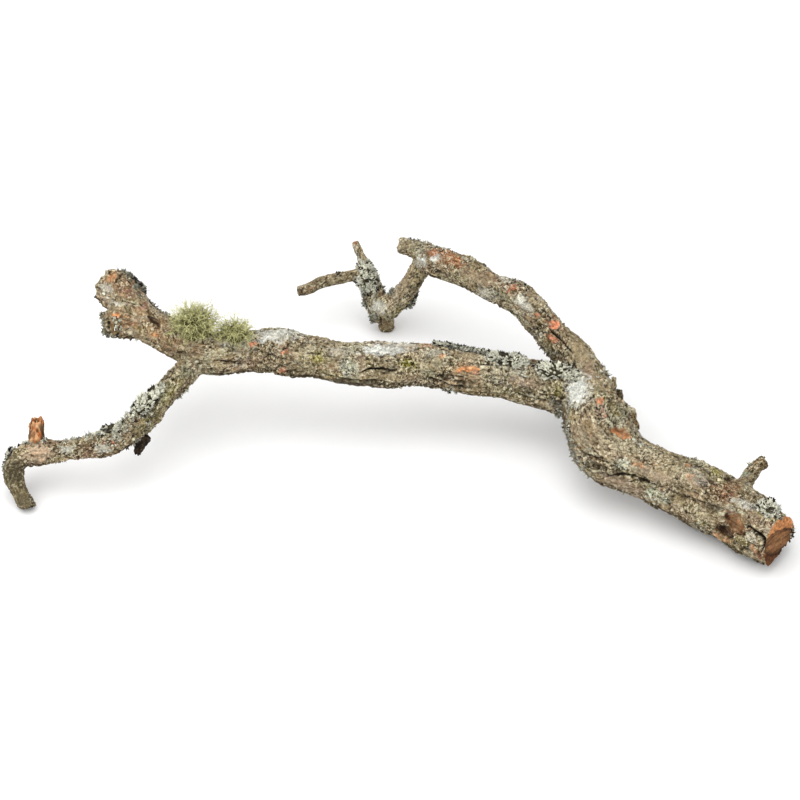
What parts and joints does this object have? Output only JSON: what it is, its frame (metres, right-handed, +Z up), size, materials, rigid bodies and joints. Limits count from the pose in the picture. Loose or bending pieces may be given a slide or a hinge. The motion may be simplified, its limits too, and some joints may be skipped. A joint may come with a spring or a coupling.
{
  "type": "fallen tree branch",
  "caption": "Dead forked tree branch grown over with lichen, with a cut butt and broken ends, lying on the ground on its butt, a twig tip and a knee.",
  "frame": {"origin": "on the ground, under the middle of the branch's box", "axes": "+X towards the cut butt, along the branch's longest extent; +Z up; -Y is the side seen in the picture"},
  "size_m": [0.7736, 0.4344, 0.1506],
  "materials": {
    "bark": "rough scaly bark, grey-tan with pink and dark flecks",
    "bare_wood": "splintered orange-brown wood",
    "leafy_lichen": "dry, matt, pale grey-green",
    "beard_lichen": "dry, matt, yellow-green threads"
  },
  "bodies": {
    "root": {"trunk": "bark", "main_limb": "bark", "upper_limb": "bark", "left_stub": "bark", "drooping_branch": "bark", "hooked_twig": "bark", "splintered_spur": "bare_wood", "upper_stub": "bark", "crooked_branch": "bark", "rising_twig": "bark", "side_twig": "bark", "butt_twig": "bark", "hanging_flake": "bark", "beard_lichen_large": "beard_lichen", "beard_lichen_small": "beard_lichen", "leafy_lichen_main_fork": "leafy_lichen", "leafy_lichen_main_limb": "leafy_lichen", "leafy_lichen_limb_crest": "leafy_lichen", "leafy_lichen_butt": "leafy_lichen", "leafy_lichen_droop_top": "leafy_lichen", "leafy_lichen_droop_mid": "leafy_lichen", "leafy_lichen_hook": "leafy_lichen", "leafy_lichen_stub_head": "leafy_lichen", "leafy_lichen_stub_chin": "leafy_lichen", "leafy_lichen_knee": "leafy_lichen", "leafy_lichen_rising_twig": "leafy_lichen"}
  },
  "joints": []
}
